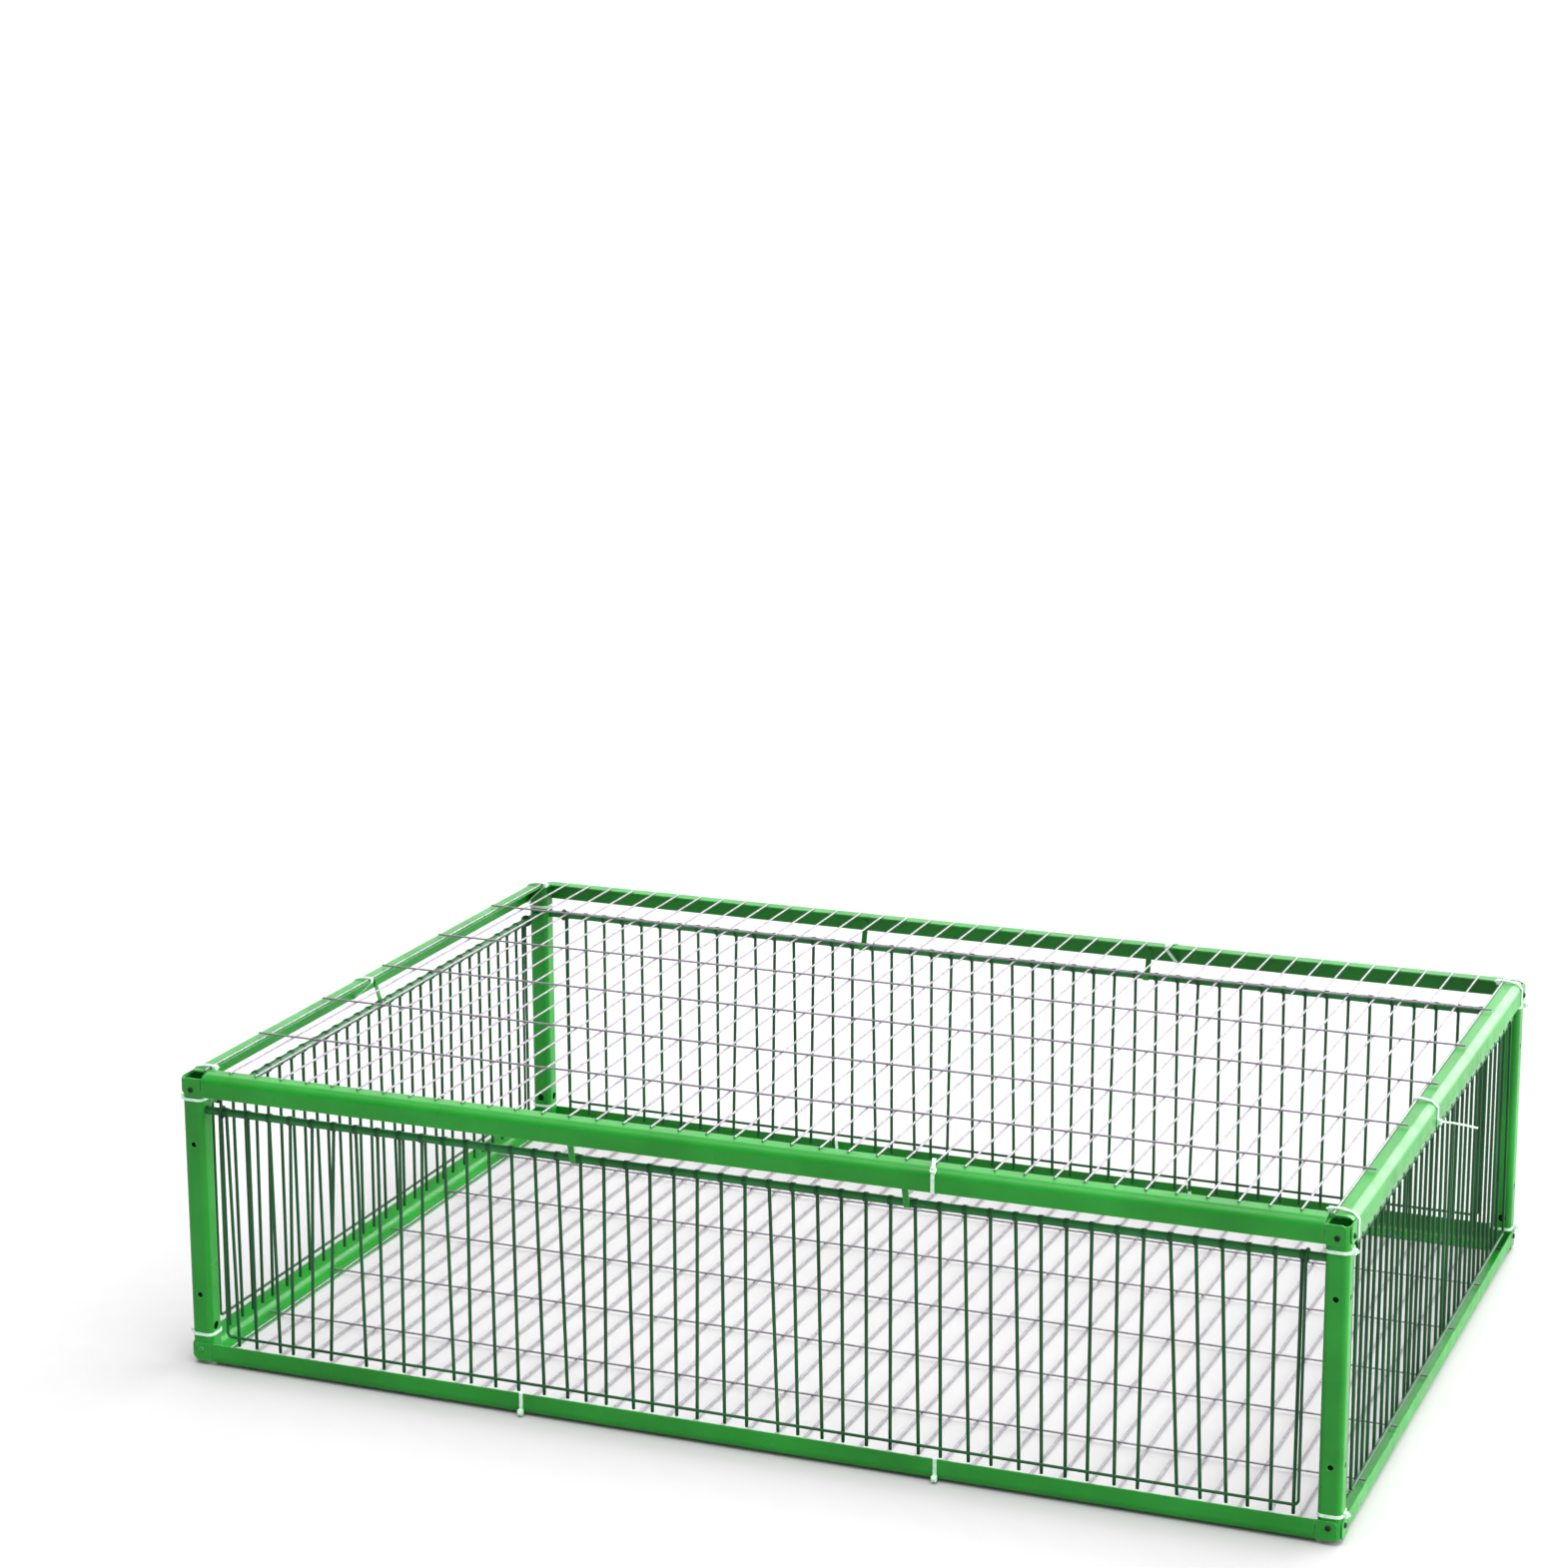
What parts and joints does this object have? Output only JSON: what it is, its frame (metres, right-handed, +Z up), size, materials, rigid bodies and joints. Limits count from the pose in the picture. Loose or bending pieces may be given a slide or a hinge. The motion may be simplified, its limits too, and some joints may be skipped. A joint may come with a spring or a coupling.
{
  "type": "pigeon trap cage",
  "caption": "Low rectangular pigeon trap cage: angle-rail frame, welded mesh roof and floor, and hanging bob wires along every side that swing inwards only.",
  "frame": {"origin": "centre of the base, on the floor", "axes": "+X to the right along the long side, +Y from the front to the back, +Z up"},
  "size_m": [1.2272, 0.8126, 0.3047],
  "materials": {
    "green_paint": "satin green paint",
    "galvanised_wire": "galvanised wire",
    "dark_screw": "blackened screw",
    "white_nylon": "white nylon"
  },
  "bodies": {
    "frame": {"front_top_rail": "green_paint", "front_bottom_rail": "green_paint", "back_top_rail": "green_paint", "back_bottom_rail": "green_paint", "left_top_rail": "green_paint", "left_bottom_rail": "green_paint", "right_top_rail": "green_paint", "right_bottom_rail": "green_paint", "front_left_post": "green_paint", "front_right_post": "green_paint", "back_left_post": "green_paint", "back_right_post": "green_paint", "front_pivot_rod": "green_paint", "back_pivot_rod": "green_paint", "left_pivot_rod": "green_paint", "right_pivot_rod": "green_paint", "front_stop_wire": "green_paint", "back_stop_wire": "green_paint", "left_stop_wire": "green_paint", "right_stop_wire": "green_paint", "rod_hangers": "green_paint", "roof_mesh": "galvanised_wire", "floor_mesh": "galvanised_wire", "corner_screws": "dark_screw", "post_ties": "white_nylon", "top_rail_ties": "white_nylon", "bottom_rail_ties": "white_nylon"},
    "front_bobs_1": {"front_bobs_1": "green_paint"},
    "front_bobs_2": {"front_bobs_2": "green_paint"},
    "front_bobs_3": {"front_bobs_3": "green_paint"},
    "front_bobs_4": {"front_bobs_4": "green_paint"},
    "front_bobs_5": {"front_bobs_5": "green_paint"},
    "front_bobs_6": {"front_bobs_6": "green_paint"},
    "front_bobs_7": {"front_bobs_7": "green_paint"},
    "front_bobs_8": {"front_bobs_8": "green_paint"},
    "back_bobs_1": {"back_bobs_1": "green_paint"},
    "back_bobs_2": {"back_bobs_2": "green_paint"},
    "back_bobs_3": {"back_bobs_3": "green_paint"},
    "back_bobs_4": {"back_bobs_4": "green_paint"},
    "back_bobs_5": {"back_bobs_5": "green_paint"},
    "back_bobs_6": {"back_bobs_6": "green_paint"},
    "back_bobs_7": {"back_bobs_7": "green_paint"},
    "back_bobs_8": {"back_bobs_8": "green_paint"},
    "left_bobs_1": {"left_bobs_1": "green_paint"},
    "left_bobs_2": {"left_bobs_2": "green_paint"},
    "left_bobs_3": {"left_bobs_3": "green_paint"},
    "left_bobs_4": {"left_bobs_4": "green_paint"},
    "left_bobs_5": {"left_bobs_5": "green_paint"},
    "right_bobs_1": {"right_bobs_1": "green_paint"},
    "right_bobs_2": {"right_bobs_2": "green_paint"},
    "right_bobs_3": {"right_bobs_3": "green_paint"},
    "right_bobs_4": {"right_bobs_4": "green_paint"},
    "right_bobs_5": {"right_bobs_5": "green_paint"}
  },
  "joints": [
    {"name": "front_bobs_1_swing", "type": "hinge", "parent": "frame", "child": "front_bobs_1", "pos_m": [-0.476, -0.389, 0.263], "axis": [1, 0, 0], "range_deg": [-0.8, 65]},
    {"name": "front_bobs_2_swing", "type": "hinge", "parent": "frame", "child": "front_bobs_2", "pos_m": [-0.3332, -0.389, 0.263], "axis": [1, 0, 0], "range_deg": [-0.8, 65]},
    {"name": "front_bobs_3_swing", "type": "hinge", "parent": "frame", "child": "front_bobs_3", "pos_m": [-0.1904, -0.389, 0.263], "axis": [1, 0, 0], "range_deg": [-0.8, 65]},
    {"name": "front_bobs_4_swing", "type": "hinge", "parent": "frame", "child": "front_bobs_4", "pos_m": [-0.0595, -0.389, 0.263], "axis": [1, 0, 0], "range_deg": [-0.8, 65]},
    {"name": "front_bobs_5_swing", "type": "hinge", "parent": "frame", "child": "front_bobs_5", "pos_m": [0.0595, -0.389, 0.263], "axis": [1, 0, 0], "range_deg": [-0.8, 65]},
    {"name": "front_bobs_6_swing", "type": "hinge", "parent": "frame", "child": "front_bobs_6", "pos_m": [0.1904, -0.389, 0.263], "axis": [1, 0, 0], "range_deg": [-0.8, 65]},
    {"name": "front_bobs_7_swing", "type": "hinge", "parent": "frame", "child": "front_bobs_7", "pos_m": [0.3332, -0.389, 0.263], "axis": [1, 0, 0], "range_deg": [-0.8, 65]},
    {"name": "front_bobs_8_swing", "type": "hinge", "parent": "frame", "child": "front_bobs_8", "pos_m": [0.476, -0.389, 0.263], "axis": [1, 0, 0], "range_deg": [-0.8, 65]},
    {"name": "back_bobs_1_swing", "type": "hinge", "parent": "frame", "child": "back_bobs_1", "pos_m": [0.476, 0.389, 0.263], "axis": [-1, 0, 0], "range_deg": [-0.8, 65]},
    {"name": "back_bobs_2_swing", "type": "hinge", "parent": "frame", "child": "back_bobs_2", "pos_m": [0.3332, 0.389, 0.263], "axis": [-1, 0, 0], "range_deg": [-0.8, 65]},
    {"name": "back_bobs_3_swing", "type": "hinge", "parent": "frame", "child": "back_bobs_3", "pos_m": [0.1904, 0.389, 0.263], "axis": [-1, 0, 0], "range_deg": [-0.8, 65]},
    {"name": "back_bobs_4_swing", "type": "hinge", "parent": "frame", "child": "back_bobs_4", "pos_m": [0.0595, 0.389, 0.263], "axis": [-1, 0, 0], "range_deg": [-0.8, 65]},
    {"name": "back_bobs_5_swing", "type": "hinge", "parent": "frame", "child": "back_bobs_5", "pos_m": [-0.0595, 0.389, 0.263], "axis": [-1, 0, 0], "range_deg": [-0.8, 65]},
    {"name": "back_bobs_6_swing", "type": "hinge", "parent": "frame", "child": "back_bobs_6", "pos_m": [-0.1904, 0.389, 0.263], "axis": [-1, 0, 0], "range_deg": [-0.8, 65]},
    {"name": "back_bobs_7_swing", "type": "hinge", "parent": "frame", "child": "back_bobs_7", "pos_m": [-0.3332, 0.389, 0.263], "axis": [-1, 0, 0], "range_deg": [-0.8, 65]},
    {"name": "back_bobs_8_swing", "type": "hinge", "parent": "frame", "child": "back_bobs_8", "pos_m": [-0.476, 0.389, 0.263], "axis": [-1, 0, 0], "range_deg": [-0.8, 65]},
    {"name": "left_bobs_1_swing", "type": "hinge", "parent": "frame", "child": "left_bobs_1", "pos_m": [-0.569, 0.2856, 0.263], "axis": [0, -1, 0], "range_deg": [-0.8, 65]},
    {"name": "left_bobs_2_swing", "type": "hinge", "parent": "frame", "child": "left_bobs_2", "pos_m": [-0.569, 0.1428, 0.263], "axis": [0, -1, 0], "range_deg": [-0.8, 65]},
    {"name": "left_bobs_3_swing", "type": "hinge", "parent": "frame", "child": "left_bobs_3", "pos_m": [-0.569, 0, 0.263], "axis": [0, -1, 0], "range_deg": [-0.8, 65]},
    {"name": "left_bobs_4_swing", "type": "hinge", "parent": "frame", "child": "left_bobs_4", "pos_m": [-0.569, -0.1428, 0.263], "axis": [0, -1, 0], "range_deg": [-0.8, 65]},
    {"name": "left_bobs_5_swing", "type": "hinge", "parent": "frame", "child": "left_bobs_5", "pos_m": [-0.569, -0.2856, 0.263], "axis": [0, -1, 0], "range_deg": [-0.8, 65]},
    {"name": "right_bobs_1_swing", "type": "hinge", "parent": "frame", "child": "right_bobs_1", "pos_m": [0.569, -0.2856, 0.263], "axis": [0, 1, 0], "range_deg": [-0.8, 65]},
    {"name": "right_bobs_2_swing", "type": "hinge", "parent": "frame", "child": "right_bobs_2", "pos_m": [0.569, -0.1428, 0.263], "axis": [0, 1, 0], "range_deg": [-0.8, 65]},
    {"name": "right_bobs_3_swing", "type": "hinge", "parent": "frame", "child": "right_bobs_3", "pos_m": [0.569, 0, 0.263], "axis": [0, 1, 0], "range_deg": [-0.8, 65]},
    {"name": "right_bobs_4_swing", "type": "hinge", "parent": "frame", "child": "right_bobs_4", "pos_m": [0.569, 0.1428, 0.263], "axis": [0, 1, 0], "range_deg": [-0.8, 65]},
    {"name": "right_bobs_5_swing", "type": "hinge", "parent": "frame", "child": "right_bobs_5", "pos_m": [0.569, 0.2856, 0.263], "axis": [0, 1, 0], "range_deg": [-0.8, 65]}
  ]
}
